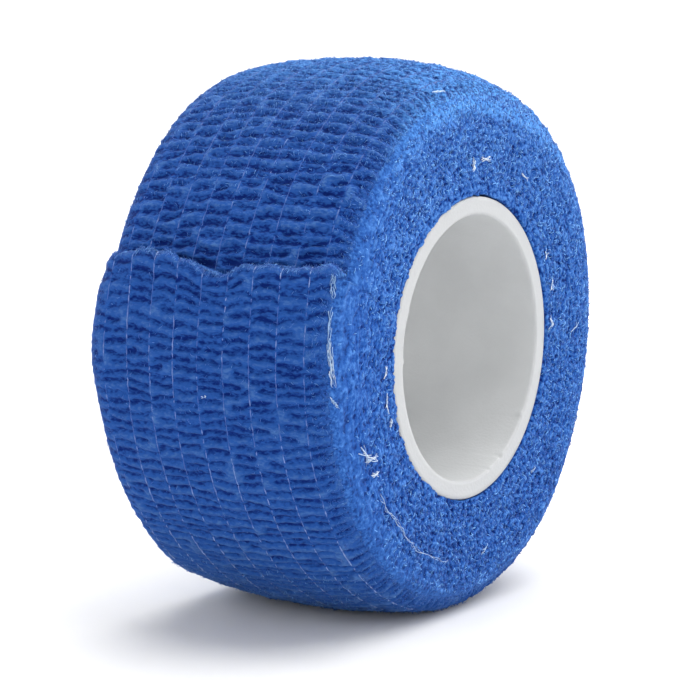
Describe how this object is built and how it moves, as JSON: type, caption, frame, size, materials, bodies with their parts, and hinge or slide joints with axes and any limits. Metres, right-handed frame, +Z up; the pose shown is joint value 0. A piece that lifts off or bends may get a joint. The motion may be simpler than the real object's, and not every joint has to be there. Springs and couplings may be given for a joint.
{
  "type": "cohesive bandage roll",
  "caption": "Roll of crinkled self-clinging elastic bandage on a hollow plastic core, standing on its round side with its loose end lying on the turn below.",
  "frame": {"origin": "on the surface the roll rests on, under the middle of its bounding box", "axes": "+Z up, +Y along the roll's axis, the cut edge of the loose end on the -X side"},
  "size_m": [0.049, 0.0238, 0.0475],
  "materials": {
    "crinkled_cloth": "matte crinkled nonwoven with fine elastic threads",
    "core_plastic": "satin white"
  },
  "bodies": {
    "root": {"wound_tape": "crinkled_cloth", "core": "core_plastic"}
  },
  "joints": []
}
